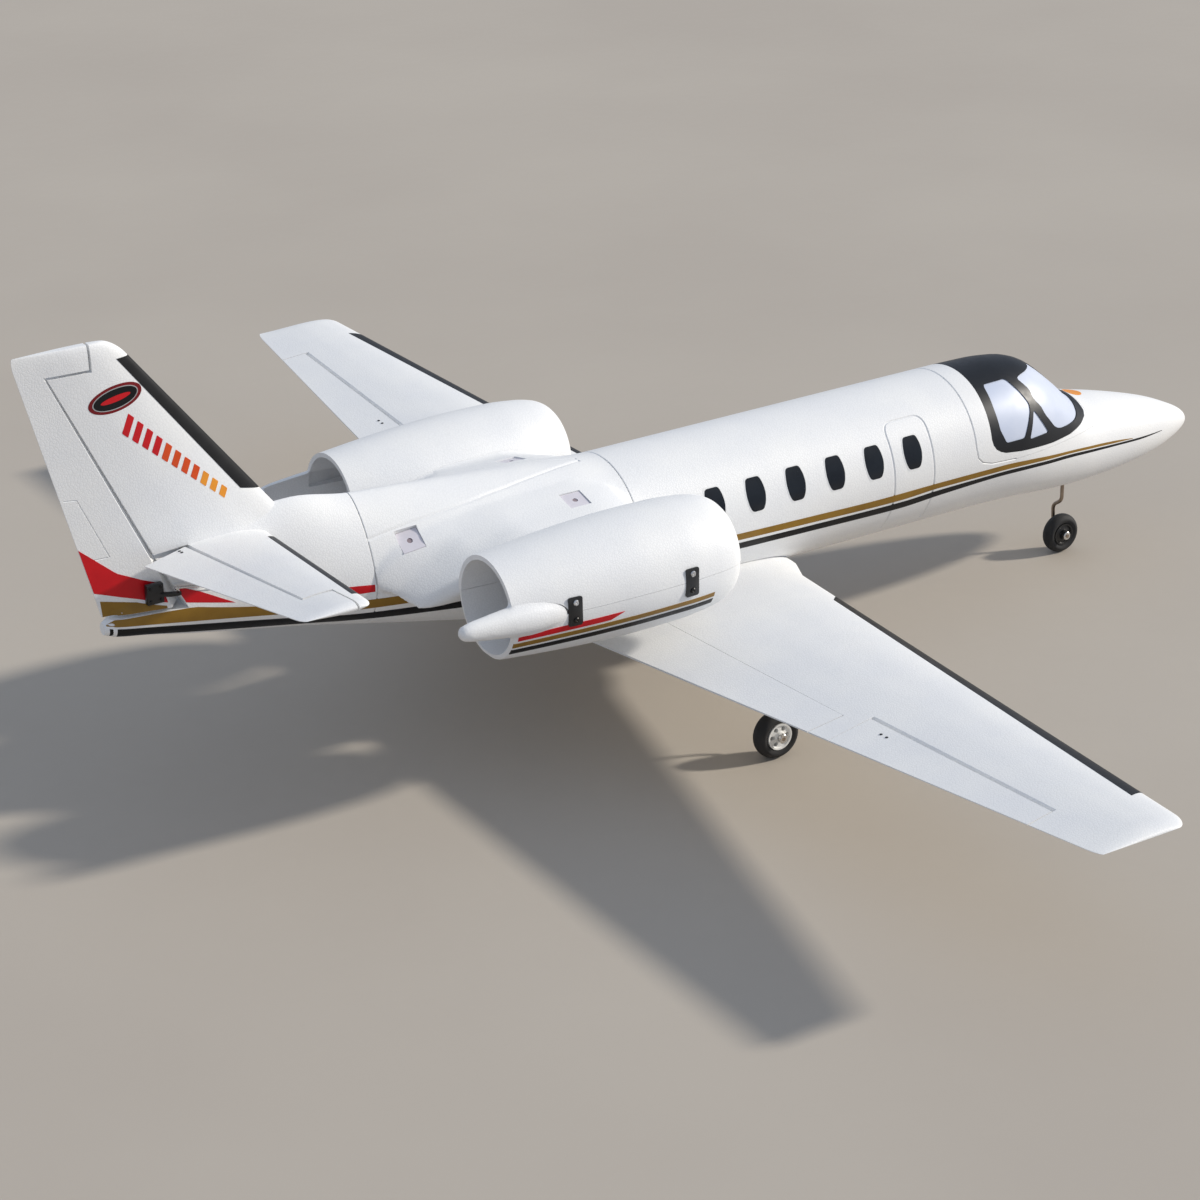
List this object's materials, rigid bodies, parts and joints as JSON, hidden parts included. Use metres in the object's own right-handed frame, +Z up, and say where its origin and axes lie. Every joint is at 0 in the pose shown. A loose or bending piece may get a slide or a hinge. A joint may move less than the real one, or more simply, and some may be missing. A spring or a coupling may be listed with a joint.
{
  "type": "radio-controlled jet plane",
  "caption": "Twin ducted-fan model jet in white foam with working control surfaces, steerable nose wheel, spinning fans and a lift-off canopy hatch.",
  "frame": {"origin": "on the ground under the middle of the bounding box, at the height where the wheels touch", "axes": "+X towards the nose, +Y to the left (port) wing tip, +Z up"},
  "size_m": [1.069, 1.18, 0.373],
  "materials": {
    "foam": "moulded expanded foam, satin",
    "canopy_black": "gloss black",
    "canopy_clear": "clear moulded plastic",
    "tyre": "black foam rubber",
    "hub_plastic": "white moulded plastic",
    "black_plastic": "black moulded plastic",
    "servo_case": "blue translucent plastic",
    "arm_plastic": "white nylon",
    "steel": "spring wire",
    "carbon": "carbon tube",
    "motor_metal": "turned",
    "sleeve": "shrink sleeve"
  },
  "bodies": {
    "airframe": {"fuselage_front": "foam", "fuselage_tail": "foam", "engine_cradle": "foam", "tailplane": "foam", "nacelle_cover_right": "foam", "nacelle_cover_left": "foam", "wing_right": "foam", "wing_left": "foam", "receiver": "black_plastic", "fan_duct_right": "black_plastic", "fan_duct_left": "black_plastic", "rudder_servo": "servo_case", "elevator_servo": "servo_case", "steering_servo": "servo_case", "aileron_right_servo": "servo_case", "aileron_left_servo": "servo_case", "nose_steering_block": "arm_plastic", "main_strut_right": "steel", "main_strut_left": "steel", "wing_spar": "carbon", "fan_motor_right": "motor_metal", "fan_motor_left": "motor_metal", "battery": "sleeve", "speed_controller_right": "sleeve", "speed_controller_left": "sleeve"},
    "hatch": {"canopy_hatch": "foam", "canopy_frame": "canopy_black", "canopy_glazing": "canopy_clear"},
    "aileron_right": {"aileron_right": "foam", "aileron_right_horn": "black_plastic"},
    "aileron_right_servo_arm": {"aileron_right_servo_arm": "arm_plastic"},
    "aileron_right_pushrod": {"aileron_right_pushrod": "steel"},
    "aileron_left": {"aileron_left": "foam", "aileron_left_horn": "black_plastic"},
    "aileron_left_servo_arm": {"aileron_left_servo_arm": "arm_plastic"},
    "aileron_left_pushrod": {"aileron_left_pushrod": "steel"},
    "flap_right": {"flap_right": "foam"},
    "flap_left": {"flap_left": "foam"},
    "elevator_right": {"elevator_right": "foam", "elevator_horn": "black_plastic", "elevator_joiner": "steel"},
    "elevator_left": {"elevator_left": "foam"},
    "elevator_servo_arm": {"elevator_servo_arm": "arm_plastic"},
    "elevator_pushrod": {"elevator_pushrod": "steel"},
    "rudder": {"rudder": "foam", "rudder_horn": "black_plastic"},
    "rudder_servo_arm": {"rudder_servo_arm": "arm_plastic"},
    "rudder_pushrod": {"rudder_pushrod": "steel"},
    "nose_leg": {"nose_strut": "steel", "nose_steering_arm": "arm_plastic"},
    "nose_wheel": {"nose_tyre": "tyre", "nose_hub": "black_plastic"},
    "steering_servo_arm": {"steering_servo_arm": "arm_plastic"},
    "steering_pushrod": {"steering_pushrod": "steel"},
    "main_wheel_right": {"main_right_tyre": "tyre", "main_right_hub": "hub_plastic"},
    "main_wheel_left": {"main_left_tyre": "tyre", "main_left_hub": "hub_plastic"},
    "fan_rotor_right": {"fan_rotor_right": "black_plastic"},
    "fan_rotor_left": {"fan_rotor_left": "black_plastic"}
  },
  "joints": [
    {"name": "hatch_lift", "type": "slide", "parent": "airframe", "child": "hatch", "axis": [0, 0, 1], "range_m": [0, 0.1]},
    {"name": "aileron_right_hinge", "type": "hinge", "parent": "airframe", "child": "aileron_right", "pos_m": [-0.05, -0.333, 0.10463], "axis": [0.0261, -0.9983, 0.0525], "range_deg": [-22, 22]},
    {"name": "aileron_right_servo_turn", "type": "hinge", "parent": "airframe", "child": "aileron_right_servo_arm", "pos_m": [-0.00724, -0.362, 0.10115], "axis": [0.0261, -0.9983, 0.0525], "range_deg": [-22, 22]},
    {"name": "aileron_right_pushrod_pivot", "type": "hinge", "parent": "aileron_right_servo_arm", "child": "aileron_right_pushrod", "pos_m": [-0.00724, -0.362, 0.08115], "axis": [0.0261, -0.9983, 0.0525], "range_deg": [-22, 22]},
    {"name": "aileron_left_hinge", "type": "hinge", "parent": "airframe", "child": "aileron_left", "pos_m": [-0.05, 0.333, 0.10463], "axis": [0.0261, 0.9983, 0.0525], "range_deg": [-22, 22]},
    {"name": "aileron_left_servo_turn", "type": "hinge", "parent": "airframe", "child": "aileron_left_servo_arm", "pos_m": [-0.00724, 0.362, 0.10115], "axis": [0.0261, 0.9983, 0.0525], "range_deg": [-22, 22]},
    {"name": "aileron_left_pushrod_pivot", "type": "hinge", "parent": "aileron_left_servo_arm", "child": "aileron_left_pushrod", "pos_m": [-0.00724, 0.362, 0.08115], "axis": [0.0261, 0.9983, 0.0525], "range_deg": [-22, 22]},
    {"name": "flap_right_hinge", "type": "hinge", "parent": "airframe", "child": "flap_right", "pos_m": [-0.067, -0.072, 0.09009], "axis": [0.0206, -0.9985, 0.0502], "range_deg": [0, 35]},
    {"name": "flap_left_hinge", "type": "hinge", "parent": "airframe", "child": "flap_left", "pos_m": [-0.067, 0.072, 0.09009], "axis": [0.0206, 0.9985, 0.0502], "range_deg": [-35, 0]},
    {"name": "elevator_right_hinge", "type": "hinge", "parent": "airframe", "child": "elevator_right", "pos_m": [-0.417, 0, 0.205], "axis": [0.0198, -0.9909, 0.1328], "range_deg": [-22, 22]},
    {"name": "elevator_left_hinge", "type": "hinge", "parent": "airframe", "child": "elevator_left", "pos_m": [-0.417, 0, 0.205], "axis": [0.0198, 0.9909, 0.1328], "range_deg": [-22, 22]},
    {"name": "elevator_servo_turn", "type": "hinge", "parent": "airframe", "child": "elevator_servo_arm", "pos_m": [-0.305, -0.015, 0.185], "axis": [0.0198, -0.9909, 0.1328], "range_deg": [-22, 22]},
    {"name": "elevator_pushrod_pivot", "type": "hinge", "parent": "elevator_servo_arm", "child": "elevator_pushrod", "pos_m": [-0.305, -0.015, 0.171], "axis": [0.0198, -0.9909, 0.1328], "range_deg": [-22, 22]},
    {"name": "rudder_hinge", "type": "hinge", "parent": "airframe", "child": "rudder", "pos_m": [-0.43041, 0, 0.181], "axis": [-0.4202, 0, 0.9075], "range_deg": [-25, 25]},
    {"name": "rudder_servo_turn", "type": "hinge", "parent": "airframe", "child": "rudder_servo_arm", "pos_m": [-0.303, -0.01, 0.164], "axis": [-0.4202, 0, 0.9075], "range_deg": [-25, 25]},
    {"name": "rudder_pushrod_pivot", "type": "hinge", "parent": "rudder_servo_arm", "child": "rudder_pushrod", "pos_m": [-0.303, -0.026, 0.164], "axis": [-0.4202, 0, 0.9075], "range_deg": [-25, 25]},
    {"name": "nose_leg_steer", "type": "hinge", "parent": "airframe", "child": "nose_leg", "pos_m": [0.402, 0, 0.107], "axis": [0, 0, 1], "range_deg": [-20, 20]},
    {"name": "steering_servo_turn", "type": "hinge", "parent": "airframe", "child": "steering_servo_arm", "pos_m": [0.352, 0, 0.107], "axis": [0, 0, 1], "range_deg": [-20, 20]},
    {"name": "steering_pushrod_pivot", "type": "hinge", "parent": "steering_servo_arm", "child": "steering_pushrod", "pos_m": [0.352, -0.014, 0.107], "axis": [0, 0, 1], "range_deg": [-20, 20]},
    {"name": "nose_wheel_spin", "type": "hinge", "parent": "nose_leg", "child": "nose_wheel", "pos_m": [0.402, 0, 0.017], "axis": [0, 1, 0], "continuous": true},
    {"name": "main_wheel_right_spin", "type": "hinge", "parent": "airframe", "child": "main_wheel_right", "pos_m": [-0.023, -0.178, 0.019], "axis": [0, 1, 0], "continuous": true},
    {"name": "main_wheel_left_spin", "type": "hinge", "parent": "airframe", "child": "main_wheel_left", "pos_m": [-0.023, 0.178, 0.019], "axis": [0, 1, 0], "continuous": true},
    {"name": "fan_right_spin", "type": "hinge", "parent": "airframe", "child": "fan_rotor_right", "pos_m": [-0.11, -0.118, 0.1565], "axis": [1, 0, 0], "continuous": true},
    {"name": "fan_left_spin", "type": "hinge", "parent": "airframe", "child": "fan_rotor_left", "pos_m": [-0.11, 0.118, 0.1565], "axis": [1, 0, 0], "continuous": true}
  ],
  "couplings": [
    {"joint": "aileron_left_hinge", "follows": "aileron_right_hinge", "ratio": 1},
    {"joint": "aileron_left_servo_turn", "follows": "aileron_right_hinge", "ratio": 1},
    {"joint": "aileron_left_pushrod_pivot", "follows": "aileron_right_hinge", "ratio": -1},
    {"joint": "aileron_right_servo_turn", "follows": "aileron_right_hinge", "ratio": 1},
    {"joint": "aileron_right_pushrod_pivot", "follows": "aileron_right_hinge", "ratio": -1},
    {"joint": "flap_left_hinge", "follows": "flap_right_hinge", "ratio": -1},
    {"joint": "elevator_left_hinge", "follows": "elevator_right_hinge", "ratio": -1},
    {"joint": "elevator_servo_turn", "follows": "elevator_right_hinge", "ratio": 1},
    {"joint": "elevator_pushrod_pivot", "follows": "elevator_right_hinge", "ratio": -1},
    {"joint": "rudder_servo_turn", "follows": "rudder_hinge", "ratio": 1},
    {"joint": "rudder_pushrod_pivot", "follows": "rudder_hinge", "ratio": -1},
    {"joint": "nose_leg_steer", "follows": "rudder_hinge", "ratio": -0.8},
    {"joint": "steering_servo_turn", "follows": "rudder_hinge", "ratio": -0.8},
    {"joint": "steering_pushrod_pivot", "follows": "rudder_hinge", "ratio": 0.8}
  ]
}
